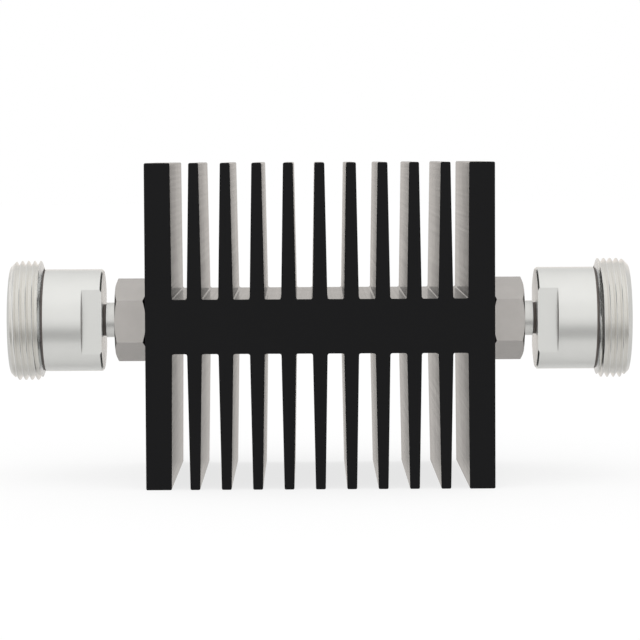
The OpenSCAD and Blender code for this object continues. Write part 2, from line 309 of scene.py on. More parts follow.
# Geometry node trees
class Modeller:
    """A geometry node tree with named inputs, whose result becomes a plain mesh."""

    KINDS = {int: "NodeSocketInt", float: "NodeSocketFloat", bpy.types.Object: "NodeSocketObject",
             bpy.types.Material: "NodeSocketMaterial"}

    def __init__(self, name, inputs):
        self.tree = bpy.data.node_groups.new(name, "GeometryNodeTree")
        face = self.tree.interface
        face.new_socket(name="Geometry", in_out="INPUT", socket_type="NodeSocketGeometry")
        face.new_socket(name="Geometry", in_out="OUTPUT", socket_type="NodeSocketGeometry")
        self.values = inputs
        self.identifiers = {}
        for label, value in inputs.items():
            kind = next(k for t, k in self.KINDS.items() if isinstance(value, t))
            item = face.new_socket(name=label, in_out="INPUT", socket_type=kind)
            self.identifiers[label] = item.identifier
        self.source = self.tree.nodes.new("NodeGroupInput")

    def input(self, label):
        return Wire(self.tree, self.source.outputs[label])

    def add(self, kind, settings=None, sockets=None, output=0):
        return add_node(self.tree, kind, settings or {}, sockets or {}, output)

    def vector(self, x=0.0, y=0.0, z=0.0):
        return self.add("ShaderNodeCombineXYZ", {}, {"X": x, "Y": y, "Z": z})

    def cutter(self, label):
        """The mesh of an object that an input names."""
        return self.add("GeometryNodeObjectInfo", {}, {"Object": self.input(label)}, "Geometry")

    def turned(self, geometry, rotation):
        return self.add("GeometryNodeTransform", {}, {"Geometry": geometry, "Rotation": rotation})

    def joined(self, *geometries):
        return self.add("GeometryNodeJoinGeometry", {}, {0: list(geometries)})

    def cut(self, body, cutters):
        """The body less the cutters."""
        node = self.tree.nodes.new("GeometryNodeMeshBoolean")
        node.operation = "DIFFERENCE"
        node.solver = "EXACT"
        self.tree.links.new(body.socket, node.inputs["Mesh 1"])
        self.tree.links.new(cutters.socket, node.inputs["Mesh 2"])
        node.inputs["Self Intersection"].default_value = True
        return Wire(self.tree, node.outputs["Mesh"])

    def finish(self, geometry, material, selected=None):
        """Ends the tree with Realize Instances and Set Material."""
        result = self.add("GeometryNodeRealizeInstances", {}, {"Geometry": geometry})
        result = self.add("GeometryNodeSetMaterial", {}, {"Geometry": result, "Material": material})
        if selected:
            mask, other = selected
            result = self.add("GeometryNodeSetMaterial", {},
                              {"Geometry": result, "Selection": mask, "Material": other})
        sink = self.tree.nodes.new("NodeGroupOutput")
        self.tree.links.new(result.socket, sink.inputs[0])

    def applied(self, obj):
        """Runs the tree on an object and gives it the result as its own plain mesh."""
        modifier = obj.modifiers.new(self.tree.name, "NODES")
        modifier.node_group = self.tree
        for label, identifier in self.identifiers.items():
            modifier[identifier] = self.values[label]
        graph = bpy.context.evaluated_depsgraph_get()
        graph.update()
        mesh = bpy.data.meshes.new_from_object(obj.evaluated_get(graph))
        obj.modifiers.remove(modifier)
        obj.data = mesh
        return obj


# Mesh making
def toward(a, b):
    """Unit vector from a to b."""
    return (b - a).normalized()


def corner_arc(a, b, c, radius, steps):
    """Points of the arc that rounds corner b of the path a, b, c."""
    if radius <= 0:
        return [b]
    u, v = toward(b, a), toward(b, c)
    half = u.angle(v) / 2
    cut = radius / math.tan(half)
    centre = b + (u + v).normalized() * radius / math.sin(half)
    start, end = (b + u * cut - centre).normalized(), (b + v * cut - centre).normalized()
    return [centre + start.slerp(end, i / steps) * radius for i in range(steps + 1)]


def rounded(corners, steps=3):
    """Closed outline from corners given as (x, y) or (x, y, radius)."""
    places = [Vector(c[:2]) for c in corners]
    outline = []
    for i, corner in enumerate(corners):
        radius = corner[2] if len(corner) > 2 else 0
        outline += corner_arc(places[i - 1], places[i], places[(i + 1) % len(places)], radius, steps)
    return outline


def grown(outline, distance):
    """A closed outline moved outwards; it runs anticlockwise."""
    result = []
    for i, point in enumerate(outline):
        before = toward(outline[i - 1], point)
        after = toward(point, outline[(i + 1) % len(outline)])
        normal_before = Vector((before.y, -before.x))
        normal_after = Vector((after.y, -after.x))
        middle = (normal_before + normal_after).normalized()
        result.append(point + middle * distance / max(middle.dot(normal_after), 0.3))
    return result


def make_object(name, bm, welded=True):
    """An object from a bmesh, with its doubles merged and its faces turned outwards."""
    if welded:
        bmesh.ops.remove_doubles(bm, verts=bm.verts, dist=1e-7)
    bmesh.ops.recalc_face_normals(bm, faces=bm.faces)
    mesh = bpy.data.meshes.new(name)
    bm.to_mesh(mesh)
    bm.free()
    obj = bpy.data.objects.new(name, mesh)
    bpy.context.scene.collection.objects.link(obj)
    return obj


def lofted(name, rings):
    """A closed block through rings of equal count, given as pairs of y and outline in X and Z."""
    bm = bmesh.new()
    loops = [[bm.verts.new((p.x, y, p.y)) for p in outline] for y, outline in rings]
    for near, far in zip(loops, loops[1:]):
        for i in range(len(near)):
            j = (i + 1) % len(near)
            bm.faces.new((near[i], near[j], far[j], far[i]))
    bm.faces.new(loops[0])
    bm.faces.new(loops[-1])
    return make_object(name, bm)


def turned_bmesh(profile, segments, closed=True):
    """A profile of (x, radius) turned about the X axis."""
    bm = bmesh.new()
    loops = []
    for x, radius in profile:
        ring = []
        for s in range(segments):
            angle = math.tau * s / segments
            ring.append(bm.verts.new((x, radius * math.sin(angle), radius * math.cos(angle))))
        loops.append(ring)
    pairs = list(zip(loops, loops[1:]))
    if closed:
        pairs.append((loops[-1], loops[0]))
    for one, two in pairs:
        for s in range(segments):
            t = (s + 1) % segments
            bm.faces.new((one[s], one[t], two[t], two[s]))
    return bm


def turned_piece(name, corners, segments=128, steps=3):
    """A turned solid from a closed profile of (x, radius, rounding)."""
    profile = [(p.x, p.y) for p in rounded(corners, steps)]
    bm = turned_bmesh(profile, segments)
    bmesh.ops.remove_doubles(bm, verts=bm.verts, dist=1e-7)
    bmesh.ops.dissolve_degenerate(bm, edges=bm.edges, dist=1e-8)
    return make_object(name, bm)


def box_object(name, low, high):
    """A plain box, used as a cutter."""
    bm = bmesh.new()
    bmesh.ops.create_cube(bm, size=1.0)
    centre = (Vector(low) + Vector(high)) / 2
    size = Vector(high) - Vector(low)
    bmesh.ops.transform(bm, verts=bm.verts, matrix=Matrix.Translation(centre) @ Matrix.Diagonal(size).to_4x4())
    return make_object(name, bm)


def shade(obj, degrees=30):
    """Smooth faces with sharp edges past an angle; the large faces stay flat."""
    obj.data.shade_smooth()
    obj.data.set_sharp_from_angle(angle=math.radians(degrees))
    weighted = obj.modifiers.new("flat_faces", "WEIGHTED_NORMAL")
    weighted.keep_sharp = True
    weighted.weight = 50
    bake_modifiers(obj)


def cut_with(obj, cutter, operation="DIFFERENCE"):
    """Applies a boolean with another object and removes that object."""
    modifier = obj.modifiers.new("cut", "BOOLEAN")
    modifier.operation = operation
    modifier.solver = "EXACT"
    modifier.object = cutter
    bake_modifiers(obj)
    remove(cutter)


def bake_modifiers(obj):
    """Replaces the mesh by its evaluated form and drops the modifiers."""
    graph = bpy.context.evaluated_depsgraph_get()
    graph.update()
    mesh = bpy.data.meshes.new_from_object(obj.evaluated_get(graph))
    obj.modifiers.clear()
    obj.data = mesh


def remove(obj):
    mesh = obj.data
    bpy.data.objects.remove(obj)
    bpy.data.meshes.remove(mesh)


def half_turn(obj):
    """Turns a mesh half round about Z, which keeps a right-handed thread right-handed."""
    obj.data.transform(Matrix.Rotation(math.pi, 4, "Z"))


def kept(obj, name, node, material=None):
    """Names a finished piece, gives it its finish and sets it in place of its CAD node."""
    obj.name = name
    obj.data.name = name
    if material:
        obj.data.materials.clear()
        obj.data.materials.append(material)
    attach(obj, BODY)
    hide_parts(node)
    return obj


# Materials
class Finish:
    """A material under construction, with a Principled shader at its end."""

    def __init__(self, name):
        self.material = bpy.data.materials.new(name)
        self.material.use_nodes = True
        self.tree = self.material.node_tree
        self.shader = self.tree.nodes["Principled BSDF"]

    def add(self, kind, settings=None, sockets=None, output=0):
        return add_node(self.tree, kind, settings or {}, sockets or {}, output)

    def place(self):
        """The point in the piece's own space."""
        return self.add("ShaderNodeTexCoord", output="Object")

    def noise(self, vector, scale, detail=2.0, roughness=0.5):
        return self.add("ShaderNodeTexNoise", {}, {"Vector": vector, "Scale": scale, "Detail": detail,
                                                    "Roughness": roughness})

    def stretched(self, vector, x=1.0, y=1.0, z=1.0):
        return self.add("ShaderNodeMapping", {}, {"Vector": vector, "Scale": (x, y, z)})

    def mixed(self, factor, a, b):
        """One colour, or another, by a factor."""
        return self.add("ShaderNodeMix", {"data_type": "RGBA"},
                        {0: factor, 6: (*a, 1.0), 7: (*b, 1.0)}, 2)

    def bump(self, height, distance, strength=1.0, normal=None):
        sockets = {"Height": height, "Distance": distance, "Strength": strength}
        if normal:
            sockets["Normal"] = normal
        return self.add("ShaderNodeBump", {}, sockets)

    def set(self, **values):
        """Fills the shader's sockets; an underscore stands for a space."""
        for key, value in values.items():
            socket = self.shader.inputs[key.replace("_", " ")]
            if isinstance(value, Wire):
                self.tree.links.new(value.socket, socket)
            else:
                socket.default_value = value
        return self.material


def scaled(rgb, factor):
    return tuple(min(c * factor, 1.0) for c in rgb)


def drawn_anodise():
    """Black anodise over the extrusion's drawn faces, with faint die lines along Y."""
    look = bpy.context.scene.attenuator_finish
    finish = Finish("black_anodise_drawn")
    place = finish.place()
    lines = finish.noise(finish.stretched(place, y=0.004), 1500.0, 2.0, 0.5)
    cloud = finish.noise(place, 60.0, 2.0)
    tone = finish.mixed(cloud, scaled(look.anodise, 0.8), scaled(look.anodise, 1.25))
    rough = look.anodise_roughness + (lines - 0.5) * 0.06 + (cloud - 0.5) * 0.04
    normal = finish.bump(lines, 0.0000006)
    return finish.set(Base_Color=tone, Roughness=rough, Normal=normal, Specular_IOR_Level=look.anodise_sheen)


def sawn_anodise():
    """Black anodise over the sawn and brushed front and back faces."""
    look = bpy.context.scene.attenuator_finish
    finish = Finish("black_anodise_sawn")
    place = finish.place()
    strokes = finish.noise(finish.stretched(place, x=0.03), 3600.0, 3.0, 0.6)
    cloud = finish.noise(place, 55.0, 3.0)
    tone = finish.mixed(cloud, scaled(look.anodise, 0.85), scaled(look.anodise, 1.2))
    rough = look.sawn_roughness + (strokes - 0.5) * 0.2 + (cloud - 0.5) * 0.06
    normal = finish.bump(strokes, 0.000008)
    return finish.set(Base_Color=tone, Roughness=rough, Normal=normal, Specular_IOR_Level=look.anodise_sheen)


def turned_metal(name, rgb, roughness, line_scale, line_depth, tint=0.05):
    """Turned or plated metal: fine rings about X in its roughness and bump, and a cloudy tone."""
    finish = Finish(name)
    place = finish.place()
    rings = finish.noise(finish.stretched(place, y=0.02, z=0.02), line_scale, 3.0, 0.6)
    cloud = finish.noise(place, 160.0, 3.0)
    tone = finish.mixed(cloud, scaled(rgb, 1 - tint), scaled(rgb, 1 + tint / 2))
    rough = roughness + (rings - 0.5) * 0.14 + (cloud - 0.5) * 0.1
    normal = finish.bump(rings, line_depth)
    return finish.set(Base_Color=tone, Roughness=rough, Metallic=0.92, Normal=normal)


def thread_painted_light():
    """Satin plate on the coupling thread, with painted light: flanks that face the rim painted brighter as a
    highlight, flanks that face the barrel painted darker as shade.
    """
    look = bpy.context.scene.attenuator_finish
    finish = Finish("thread_painted_light")
    place = finish.place()
    toward_x = finish.add("ShaderNodeTexCoord", output="Normal").part("X")
    outward = toward_x * place.part("X").math("SIGN")
    # Painted highlight and shade, chosen by which way a flank faces.
    tone = finish.mixed((outward + 0.5).clamped(), look.inner_flank_shade, look.outer_flank_highlight)
    rings = finish.noise(finish.stretched(place, y=0.02, z=0.02), 2200.0, 3.0, 0.6)
    rough = look.plate_roughness + (rings - 0.5) * 0.1
    return finish.set(Base_Color=tone, Roughness=rough, Metallic=1.0)


def recess_painted_shade():
    """Plate painted dark as shade in a groove or against a milled step."""
    look = bpy.context.scene.attenuator_finish
    finish = Finish("recess_painted_shade")
    place = finish.place()
    cloud = finish.noise(place, 700.0, 3.0)
    # Painted shade: the dark colour stands in for the shade in grooves and against steps.
    tone = finish.mixed(cloud, scaled(look.recess_shade, 0.7), scaled(look.recess_shade, 1.3))
    rough = 0.5 + (cloud - 0.5) * 0.2
    normal = finish.bump(cloud, 0.000006)
    return finish.set(Base_Color=tone, Roughness=rough, Metallic=1.0, Normal=normal)


def milled_stainless():
    """Bar-stock stainless: drawn lines along X with soft blotches."""
    look = bpy.context.scene.attenuator_finish
    finish = Finish("stainless_bar")
    place = finish.place()
    lines = finish.noise(finish.stretched(place, x=0.05), 2600.0, 3.0, 0.6)
    cloud = finish.noise(place, 240.0, 4.0, 0.6)
    tone = finish.mixed(cloud, scaled(look.stainless, 0.9), scaled(look.stainless, 1.06))
    rough = look.stainless_roughness + (lines - 0.5) * 0.07 + (cloud - 0.5) * 0.05
    normal = finish.bump(lines, 0.000006)
    across = finish.add("ShaderNodeTexCoord", output="Normal").part("X").math("ABSOLUTE")
    metallic = 0.62 + across.math("GREATER_THAN", 0.15) * 0.38
    return finish.set(Base_Color=tone, Roughness=rough, Metallic=metallic, Normal=normal)


def soft_solid(name, rgb, roughness, grain_scale, grain_depth):
    """A plain non-metal, such as a moulded bead or a fired card, with a fine grain."""
    finish = Finish(name)
    place = finish.place()
    grain = finish.noise(place, grain_scale, 4.0, 0.6)
    tone = finish.mixed(grain, scaled(rgb, 0.95), scaled(rgb, 1.03))
    rough = roughness + (grain - 0.5) * 0.1
    normal = finish.bump(grain, grain_depth)
    return finish.set(Base_Color=tone, Roughness=rough, Normal=normal)


# Operators
class BuildHeatSink(bpy.types.Operator):
    """Cut the heat sink's slots and bores out of a chamfered block."""

    bl_idname = "attenuator.heat_sink"
    bl_label = "Heat sink"

    def execute(self, context):
        s = context.scene.attenuator_sink
        w, h, d = (SINK_HIGH.x - SINK_LOW.x), (SINK_HIGH.z - SINK_LOW.z), (SINK_HIGH.y - SINK_LOW.y)
        block = self.block(w, h, d, s)
        pitch = (w / 2 - s.end_root_t - s.end_slot - s.fin_root_t / 2) / ((s.fin_count - 1) / 2)
        inner_left = Vector((-pitch / 2 + s.fin_tip_t / 2, -pitch / 2 + s.fin_root_t / 2))
        slot = self.slot("slot_cutter", inner_left, -inner_left, h, d, s)
        last_fin = -(s.fin_count - 1) / 2 * pitch
        plate_side = Vector((-w / 2 + s.end_tip_t, -w / 2 + s.end_root_t))
        fin_side = Vector((last_fin - s.fin_tip_t / 2, last_fin - s.fin_root_t / 2))
        end_slot = self.slot("end_slot_cutter", plate_side, fin_side, h, d, s)
        bore = self.bore(w, s)
        drawn, sawn = drawn_anodise(), sawn_anodise()
        tree = Modeller("heat_sink_slots", {
            "Slots between fins": s.fin_count - 1, "Pitch": pitch, "Slot": slot, "End slot": end_slot,
            "Bore": bore, "Drawn face": drawn, "Sawn face": sawn})
        count, step = tree.input("Slots between fins"), tree.input("Pitch")
        row = tree.add("GeometryNodeMeshLine", {"mode": "OFFSET"}, {
            "Count": count, "Start Location": tree.vector(x=(1 - count) * step / 2),
            "Offset": tree.vector(x=step)})
        slots = tree.add("GeometryNodeInstanceOnPoints", {}, {"Points": row, "Instance": tree.cutter("Slot")})
        left = tree.cutter("End slot")
        right = tree.turned(left, (0.0, 0.0, math.pi))
        upper = tree.joined(slots, left, right)
        lower = tree.turned(upper, (math.pi, 0.0, 0.0))
        cutters = tree.joined(upper, lower, tree.cutter("Bore"))
        cutters = tree.add("GeometryNodeRealizeInstances", {}, {"Geometry": cutters})
        body = tree.cut(Wire(tree.tree, tree.source.outputs["Geometry"]), cutters)
        normal_y = tree.add("GeometryNodeInputNormal").part("Y").math("ABSOLUTE")
        sawn_faces = normal_y.math("GREATER_THAN", 0.9)
        tree.finish(body, tree.input("Drawn face"), (sawn_faces, tree.input("Sawn face")))
        tree.applied(block)
        for cutter in (slot, end_slot, bore):
            remove(cutter)
        shade(block, 25)
        kept(block, "heat_sink_finned", "heat_sink")
        return {"FINISHED"}

    def block(self, w, h, d, s):
        """The uncut block, chamfered round its front and back faces."""
        outline = rounded([(-w / 2, -h / 2, s.tip_r), (w / 2, -h / 2, s.tip_r),
                           (w / 2, h / 2, s.tip_r), (-w / 2, h / 2, s.tip_r)])
        small = grown(outline, -s.cut_edge)
        return lofted("heat_sink_finned", [(-d / 2, small), (-d / 2 + s.cut_edge, outline),
                                           (d / 2 - s.cut_edge, outline), (d / 2, small)])

    def slot(self, name, left, right, h, d, s):
        """A slot's cutter; left and right give the x of its sides at the tip and at the web."""
        over = 2 * MM
        reach = s.tip_r * 2
        outline = rounded([
            (left[1], s.web_t / 2, s.root_r), (right[1], s.web_t / 2, s.root_r),
            (right[0], h / 2, s.tip_r), (right[0] + reach, h / 2), (right[0] + reach, h / 2 + over),
            (left[0] - reach, h / 2 + over), (left[0] - reach, h / 2), (left[0], h / 2, s.tip_r)])
        wide = grown(outline, s.cut_edge)
        return lofted(name, [(-d / 2 - over, wide), (-d / 2, wide), (-d / 2 + s.cut_edge, outline),
                             (d / 2 - s.cut_edge, outline), (d / 2, wide), (d / 2 + over, wide)])

    def bore(self, w, s):
        """The stepped cutter for the line's bore and both shank bores."""
        over = 2 * MM
        seat = w / 2 - s.shank_len
        right = [(seat, s.bore_d / 2), (seat, s.shank_d / 2), (w / 2 + over, s.shank_d / 2), (w / 2 + over, 0)]
        left = [(-x, r) for x, r in reversed(right)]
        return turned_piece("bore_cutter", left + right)


class BuildShells(bpy.types.Operator):
    """Turn both connector shells, with a helical coupling thread and milled wrench flats."""

    bl_idname = "attenuator.connector_shells"
    bl_label = "Connector shells"

    SEGMENTS = 160
    ROWS_PER_PITCH = 16

    def execute(self, context):
        s = context.scene.attenuator_connector
        look = context.scene.attenuator_finish
        plate = turned_metal("silver_plate", look.plate, look.plate_roughness, 2200.0, 0.000004)
        others = (recess_painted_shade(), thread_painted_light(),
                  # Painted shade on the rear face and thread cone: a darker copy of the plate.
                  turned_metal("rear_face_painted_shade", look.rear_face_shade, look.faced_roughness, 3000.0, 0.000004),
                  turned_metal("neck_plate", look.neck, look.plate_roughness, 2200.0, 0.000004))
        thread = self.thread(s, plate)
        for side in SIDES:
            shell = self.shell(s, thread)
            kept(shell, f"{side}_threaded_shell", f"{side}_connector_shell", plate)
            for material in others:
                shell.data.materials.append(material)
            self.share_finishes(shell, s)
            shell.data.transform(Matrix.Translation((SHELL_HIGH.x - s.shell_len, 0.0, 0.0)))
            if side == "left":
                half_turn(shell)
        remove(thread)
        return {"FINISHED"}

    def share_finishes(self, shell, s):
        """Gives the grooves and the flats' end walls the plate with painted shade, and thread and rear theirs; the
        thread carries a painted highlight and shade, the rear face and thread cone a painted shade.
        """
        near = 0.01 * MM
        foot = s.barrel_d / 2 - s.relief_depth
        cone_slope = (s.thread_d / 2 - foot) / s.thread_cone
        for face in shell.data.polygons:
            centre = face.center
            radius = math.hypot(centre.y, centre.z)
            in_undercut = -s.undercut_w <= centre.x <= 0 and radius < s.neck_d / 2
            on_end_wall = abs(face.normal.x) > 0.99 and abs(centre.x - s.flat_len) < near
            past_barrel = centre.x - s.barrel_len
            in_relief = 0 <= past_barrel <= s.relief_w and s.mating_bore_d < 2 * radius < s.barrel_d - near
            # Painted shade: grooves and the flats' end walls take the plate painted dark.
            if in_undercut and face.normal.dot(centre) > 0 or on_end_wall or in_relief:
                face.material_index = 1
            elif centre.x + radius > s.shell_len + s.rim_d / 2 - 2 * near:
                face.material_index = 4
            # The thread's plate carries a painted highlight and shade on its flanks.
            elif past_barrel > s.relief_w + s.thread_cone and radius > s.barrel_d / 2:
                face.material_index = 2
            # Painted shade: the rear face and thread cone take the darker copy of the plate.
            elif abs(centre.x) < near or abs(foot + (past_barrel - s.relief_w) * cone_slope - radius) < near:
                face.material_index = 3
            elif centre.x < 0:
                face.material_index = 4

    def thread(self, s, plate):
        """The right-handed thread from the foot of the cone to the rim, measured from the rear face."""
        start, end = s.barrel_len + s.relief_w, s.shell_len
        turns = (end - start) / s.thread_pitch + 2
        rows = int(turns * self.ROWS_PER_PITCH)
        tree = Modeller("coupling_thread", {
            "Segments": self.SEGMENTS, "Rows": rows, "Rows per pitch": self.ROWS_PER_PITCH,
            "Start": start, "End": end, "Pitch": s.thread_pitch, "Crest radius": s.thread_d / 2,
            "Half land": s.thread_land_share / 2, "Flank": s.flank_share(),
            "Thread depth": s.thread_depth(),
            "Thread start": s.thread_start_share, "Foot radius": s.barrel_d / 2 - s.relief_depth,
            "Cone length": s.thread_cone, "Rim radius": s.rim_d / 2, "Plate": plate})
        get = tree.input
        grid = tree.add("GeometryNodeMeshGrid", {}, {
            "Size X": 1.0, "Size Y": 1.0, "Vertices X": get("Segments") + 1, "Vertices Y": get("Rows") + 1})
        place = tree.add("GeometryNodeInputPosition")
        turn = ((place.part("X") + 0.5) * get("Segments")).math("ROUND") / get("Segments")
        row = ((place.part("Y") + 0.5) * get("Rows")).math("ROUND") / get("Rows per pitch")
        advance = (row - 1 + turn + get("Thread start")) * get("Pitch")
        along = (get("Start") + advance).clamped(get("Start"), get("End"))
        off_crest = (row.math("FRACT") - 0.5).math("ABSOLUTE")
        drop = ((off_crest - get("Half land")) / get("Flank")).clamped() * get("Thread depth")
        ridge = get("Crest radius") - drop
        cone_slope = (get("Crest radius") - get("Foot radius")) / get("Cone length")
        cone = get("Foot radius") + (along - get("Start")) * cone_slope
        lead = get("Rim radius") + (get("End") - along)
        radius = ridge.math("MINIMUM", cone).math("MINIMUM", lead)
        angle = turn * -math.tau
        wrapped = tree.vector(along, radius * angle.math("SINE"), radius * angle.math("COSINE"))
        surface = tree.add("GeometryNodeSetPosition", {}, {"Geometry": grid, "Position": wrapped})
        surface = tree.add("GeometryNodeMergeByDistance", {}, {"Geometry": surface, "Distance": 2e-6})
        tree.finish(surface, get("Plate"))
        return tree.applied(make_object("thread_surface", bmesh.new()))

    def shell(self, s, thread):
        """One shell, measured from its rear face: thread, turned rest and wrench flats."""
        neck, under = s.neck_d / 2, s.neck_d / 2 - s.undercut_depth
        ring_front = s.shell_len - s.mating_depth
        bead_seat = ring_front - s.ring_len - s.bead_t
        fine = 0.08 * MM
        rest = [
            (s.shell_len, s.rim_d / 2),
            (s.shell_len, s.mating_bore_d / 2 + s.mouth_chamfer, fine),
            (s.shell_len - s.mouth_chamfer, s.mating_bore_d / 2, fine),
            (bead_seat, s.mating_bore_d / 2),
            (bead_seat, s.outer_contact_d / 2),
            (bead_seat / 4, s.line_bore_d / 2),
            (-s.neck_len, s.line_bore_d / 2, fine),
            (-s.neck_len, neck, fine),
            (-s.undercut_w, neck, fine),
            (-s.undercut_w, under, fine),
            (0.0, under, fine),
            (0.0, s.barrel_d / 2 - s.rear_chamfer, fine),
            (s.rear_chamfer, s.barrel_d / 2, fine),
            (s.barrel_len, s.barrel_d / 2),
            (s.barrel_len, s.barrel_d / 2 - s.relief_depth),
            (s.barrel_len + s.relief_w, s.barrel_d / 2 - s.relief_depth)]
        profile = [(p.x, p.y) for p in open_rounded(rest)]
        bm = turned_bmesh(profile, self.SEGMENTS, closed=False)
        bm.from_mesh(thread.data)
        bmesh.ops.remove_doubles(bm, verts=bm.verts, dist=2e-6)
        bmesh.ops.dissolve_degenerate(bm, edges=bm.edges, dist=1e-7)
        shell = make_object("shell", bm, welded=False)
        over = s.barrel_d
        for sign in (-1, 1):
            near, far = sorted((sign * s.flat_af / 2, sign * over))
            flat = box_object("flat_cutter", (-0.5 * MM, near, -over), (s.flat_len, far, over))
            cut_with(shell, flat)
        shade(shell, 24)
        return shell


def open_rounded(corners, steps=3):
    """An open path with its inner corners rounded."""
    places = [Vector(c[:2]) for c in corners]
    path = [places[0]]
    for i in range(1, len(corners) - 1):
        radius = corners[i][2] if len(corners[i]) > 2 else 0
        path += corner_arc(places[i - 1], places[i], places[i + 1], radius, steps)
    return path + [places[-1]]


class BuildInterfaces(bpy.types.Operator):
    """Make the contact rings, the white beads and the slotted centre contacts."""

    bl_idname = "attenuator.interfaces"
    bl_label = "Plug interfaces"

    def execute(self, context):
        s = context.scene.attenuator_connector
        look = context.scene.attenuator_finish
        ring_metal = turned_metal("ring_plate", look.plate, 0.2, 2600.0, 0.000003)
        contact_metal = turned_metal("contact_plate", look.contact, 0.16, 2600.0, 0.000003)
        white = soft_solid("white_bead", look.bead, 0.38, 900.0, 0.000006)
        x0 = SHELL_HIGH.x - s.shell_len
        ring_front = s.shell_len - s.mating_depth
        bead_front = ring_front - s.ring_len
        bead_back = bead_front - s.bead_t
        for side in SIDES:
            ring = self.tube(x0 + bead_front, x0 + ring_front, s.mating_bore_d / 2 - s.fit_gap,
                             s.outer_contact_d / 2, 0.25 * MM)
            bead = self.tube(x0 + bead_back, x0 + bead_front, s.mating_bore_d / 2 - s.fit_gap,
                             s.centre_d / 2 + s.fit_gap, 0.15 * MM)
            contact = self.contact(s, x0, bead_front, bead_back, contact_metal)
            for piece in (ring, bead, contact):
                if side == "left":
                    half_turn(piece)
                shade(piece, 30)
            kept(ring, f"{side}_butting_ring", f"{side}_contact_ring", ring_metal)
            kept(bead, f"{side}_white_bead", f"{side}_support_bead", white)
            kept(contact, f"{side}_slotted_contact", f"{side}_centre_contact", contact_metal)
        return {"FINISHED"}

    def tube(self, x_back, x_front, outer, inner, edge):
        return turned_piece("tube", [(x_back, inner), (x_front, inner, edge), (x_front, outer, edge),
                                     (x_back, outer)])

    def contact(self, s, x0, bead_front, bead_back, metal):
        """The socket with its slots, the taper behind the bead and the joint pin."""
        mouth = s.shell_len - s.socket_recess
        rod_end = -(SHELL_LOW.x + s.neck_len - BUSHING_HIGH.x) / 3
        edge = 0.2 * MM
        profile = [
            (rod_end - s.pin_len, 0), (rod_end - s.pin_len, s.pin_d / 2, 0.15 * MM),
            (rod_end, s.pin_d / 2), (rod_end, s.rod_d / 2), (bead_back / 4, s.rod_d / 2),
            (bead_back, s.centre_d / 2), (bead_front, s.centre_d / 2), (bead_front, s.socket_od / 2),
            (mouth, s.socket_od / 2, edge), (mouth, s.socket_bore_d / 2, edge),
            (mouth - s.socket_depth, s.socket_bore_d / 2), (mouth - s.socket_depth, 0)]
        contact = turned_piece("contact", profile, 96)
        half = s.slot_w / 2
        slit = box_object("slit_cutter", (mouth - s.socket_depth, -half, -s.socket_od),
                          (mouth + MM, half, s.socket_od))
        tree = Modeller("socket_slots", {"Slots": s.socket_slots, "Slit": slit, "Plate": metal})
        points = tree.add("GeometryNodeMeshLine", {"mode": "OFFSET"},
                          {"Count": tree.input("Slots"), "Offset": (0.0, 0.0, 0.0)})
        number = tree.add("GeometryNodeInputIndex")
        turn = (number + 0.5) * math.pi / tree.input("Slots")
        slits = tree.add("GeometryNodeInstanceOnPoints", {}, {
            "Points": points, "Instance": tree.cutter("Slit"), "Rotation": tree.vector(x=turn)})
        slits = tree.add("GeometryNodeRealizeInstances", {}, {"Geometry": slits})
        body = tree.cut(Wire(tree.tree, tree.source.outputs["Geometry"]), slits)
        tree.finish(body, tree.input("Plate"))
        tree.applied(contact)
        remove(slit)
        contact.data.transform(Matrix.Translation((x0, 0.0, 0.0)))
        return contact


class BuildBushings(bpy.types.Operator):
    """Make the chamfered hexagon bushings with their shanks."""

    bl_idname = "attenuator.hex_bushings"
    bl_label = "Hexagon bushings"

    def execute(self, context):
        b = context.scene.attenuator_bushing
        s = context.scene.attenuator_connector
        steel = milled_stainless()
        for side in SIDES:
            bushing = self.bushing(b, s)
            if side == "left":
                half_turn(bushing)
            kept(bushing, f"{side}_chamfered_bushing", f"{side}_hex_bushing", steel)
        return {"FINISHED"}

    def bushing(self, b, s):
        """A hexagon with both ends chamfered, its washer face, its shank and its stepped bore."""
        x_sink, x_front = SINK_HIGH.x, BUSHING_HIGH.x
        x_back = x_sink + b.washer_len
        corner = b.across_flats / math.sqrt(3)
        face = b.across_flats * b.face_share / 2
        rear_chamfer = (corner - face) * math.tan(b.rear_angle)
        chamfer = (corner - face) * math.tan(b.chamfer_angle)
        seat = x_front - (s.neck_len - (SHELL_LOW.x + s.neck_len - x_front))
        over = MM
        prism = turned_bmesh([(x_back, 0), (x_back, corner), (x_front, corner), (x_front, 0)], 6)
        prism = make_object("hexagon", prism)
        cone = turned_piece("cone", [
            (x_back, 0), (x_back, face), (x_back + rear_chamfer, corner), (x_front - chamfer, corner),
            (x_front, face), (x_front, 0)], 144)
        cut_with(prism, cone, "INTERSECT")
        soften = prism.modifiers.new("broken_edges", "BEVEL")
        soften.width = b.corner_softness
        soften.segments = 2
        soften.limit_method = "ANGLE"
        soften.angle_limit = math.radians(25)
        bake_modifiers(prism)
        washer = face - b.washer_step
        shank = turned_piece("shank", [
            (BUSHING_LOW.x, 0), (BUSHING_LOW.x, b.shank_d / 2, 0.3 * MM), (x_sink, b.shank_d / 2),
            (x_sink, washer, 0.15 * MM), (x_back + over, washer), (x_back + over, 0)], 96)
        cut_with(prism, shank, "UNION")
        bore = turned_piece("bore", [
            (BUSHING_LOW.x - over, 0), (BUSHING_LOW.x - over, s.line_bore_d / 2),
            (seat, s.line_bore_d / 2), (seat, s.neck_d / 2 + s.fit_gap),
            (x_front + over, s.neck_d / 2 + s.fit_gap), (x_front + over, 0)], 96)
        cut_with(prism, bore)
        shade(prism, 22)
        return prism


